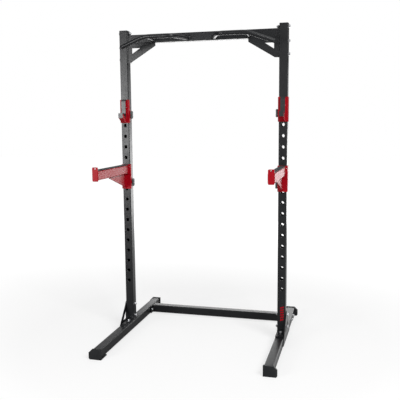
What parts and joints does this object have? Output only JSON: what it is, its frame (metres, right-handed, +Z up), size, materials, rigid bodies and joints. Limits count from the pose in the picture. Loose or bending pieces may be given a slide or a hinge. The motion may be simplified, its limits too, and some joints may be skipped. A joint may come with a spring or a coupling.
{
  "type": "squat stand",
  "caption": "Open squat stand with drilled uprights on floor rails, pull-up grips on the top bar, adjustable bar hooks and spotter arms.",
  "frame": {"origin": "on the floor, in the middle of the stand's width and of the floor rails' length", "axes": "+Z up, -Y towards the lifter's side where the hooks and spotter arms stand out, +X to the right seen from there"},
  "size_m": [1.272, 1.256, 2.241],
  "materials": {
    "charcoal_powder_coat": "satin charcoal powder coat with a fine texture",
    "red_powder_coat": "gloss red powder coat",
    "black_plastic": "moulded black plastic, fine grain",
    "grey_plastic": "moulded grey plastic, fine grain",
    "grey_liner": "smooth grey wear plastic",
    "pad_rubber": "matte black",
    "zinc": "bright zinc plate"
  },
  "bodies": {
    "frame": {"right_side_rail": "charcoal_powder_coat", "left_side_rail": "charcoal_powder_coat", "right_front_boot": "black_plastic", "left_front_boot": "black_plastic", "right_rear_boot": "black_plastic", "left_rear_boot": "black_plastic", "right_upright": "charcoal_powder_coat", "left_upright": "charcoal_powder_coat", "right_upright_cap": "black_plastic", "left_upright_cap": "black_plastic", "right_base_gusset": "charcoal_powder_coat", "left_base_gusset": "charcoal_powder_coat", "right_top_gusset": "charcoal_powder_coat", "left_top_gusset": "charcoal_powder_coat", "right_grip": "charcoal_powder_coat", "left_grip": "charcoal_powder_coat", "right_grip_strut": "charcoal_powder_coat", "left_grip_strut": "charcoal_powder_coat", "right_grip_cap": "black_plastic", "left_grip_cap": "black_plastic", "right_top_bolt_upper": "zinc", "left_top_bolt_upper": "zinc", "right_top_bolt_middle": "zinc", "left_top_bolt_middle": "zinc", "right_top_bolt_lower": "zinc", "left_top_bolt_lower": "zinc", "right_base_bolt_lower": "zinc", "left_base_bolt_lower": "zinc", "right_base_bolt_upper": "zinc", "left_base_bolt_upper": "zinc", "right_foot_bolt_front": "zinc", "left_foot_bolt_front": "zinc", "right_foot_bolt_rear": "zinc", "left_foot_bolt_rear": "zinc", "right_rear_bolt_front": "zinc", "left_rear_bolt_front": "zinc", "right_rear_bolt_rear": "zinc", "left_rear_bolt_rear": "zinc", "rear_crossbar": "charcoal_powder_coat", "top_crossbar": "charcoal_powder_coat"},
    "right_hook": {"right_hook_bracket": "red_powder_coat", "right_hook_cradle": "red_powder_coat", "right_hook_liner": "grey_liner"},
    "right_hook_clamp": {"right_hook_clamp_screw": "grey_plastic"},
    "right_spotter": {"right_spotter_bracket": "red_powder_coat", "right_spotter_arm": "red_powder_coat", "right_spotter_pad": "pad_rubber", "right_spotter_end_plate": "red_powder_coat", "right_spotter_gusset": "red_powder_coat"},
    "right_spotter_clamp": {"right_spotter_clamp_screw": "grey_plastic"},
    "left_hook": {"left_hook_bracket": "red_powder_coat", "left_hook_cradle": "red_powder_coat", "left_hook_liner": "grey_liner"},
    "left_hook_clamp": {"left_hook_clamp_screw": "grey_plastic"},
    "left_spotter": {"left_spotter_bracket": "red_powder_coat", "left_spotter_arm": "red_powder_coat", "left_spotter_pad": "pad_rubber", "left_spotter_end_plate": "red_powder_coat", "left_spotter_gusset": "red_powder_coat"},
    "left_spotter_clamp": {"left_spotter_clamp_screw": "grey_plastic"}
  },
  "joints": [
    {"name": "right_hook_pull_off", "type": "slide", "parent": "frame", "child": "right_hook", "axis": [0, -1, 0], "range_m": [0, 0.15]},
    {"name": "right_hook_clamp_turn", "type": "hinge", "parent": "right_hook", "child": "right_hook_clamp", "pos_m": [0.53, 0.02, 1.636], "axis": [-1, 0, 0], "range_deg": [0, 270]},
    {"name": "right_spotter_height", "type": "slide", "parent": "frame", "child": "right_spotter", "axis": [0, 0, 1], "range_m": [-0.78, 0.156]},
    {"name": "right_spotter_clamp_turn", "type": "hinge", "parent": "right_spotter", "child": "right_spotter_clamp", "pos_m": [0.53, 0.02, 1.138], "axis": [-1, 0, 0], "range_deg": [0, 270]},
    {"name": "left_hook_pull_off", "type": "slide", "parent": "frame", "child": "left_hook", "axis": [0, -1, 0], "range_m": [0, 0.15]},
    {"name": "left_hook_clamp_turn", "type": "hinge", "parent": "left_hook", "child": "left_hook_clamp", "pos_m": [-0.53, 0.02, 1.636], "axis": [1, 0, 0], "range_deg": [0, 270]},
    {"name": "left_spotter_height", "type": "slide", "parent": "frame", "child": "left_spotter", "axis": [0, 0, 1], "range_m": [-0.78, 0.156]},
    {"name": "left_spotter_clamp_turn", "type": "hinge", "parent": "left_spotter", "child": "left_spotter_clamp", "pos_m": [-0.53, 0.02, 1.138], "axis": [1, 0, 0], "range_deg": [0, 270]}
  ]
}
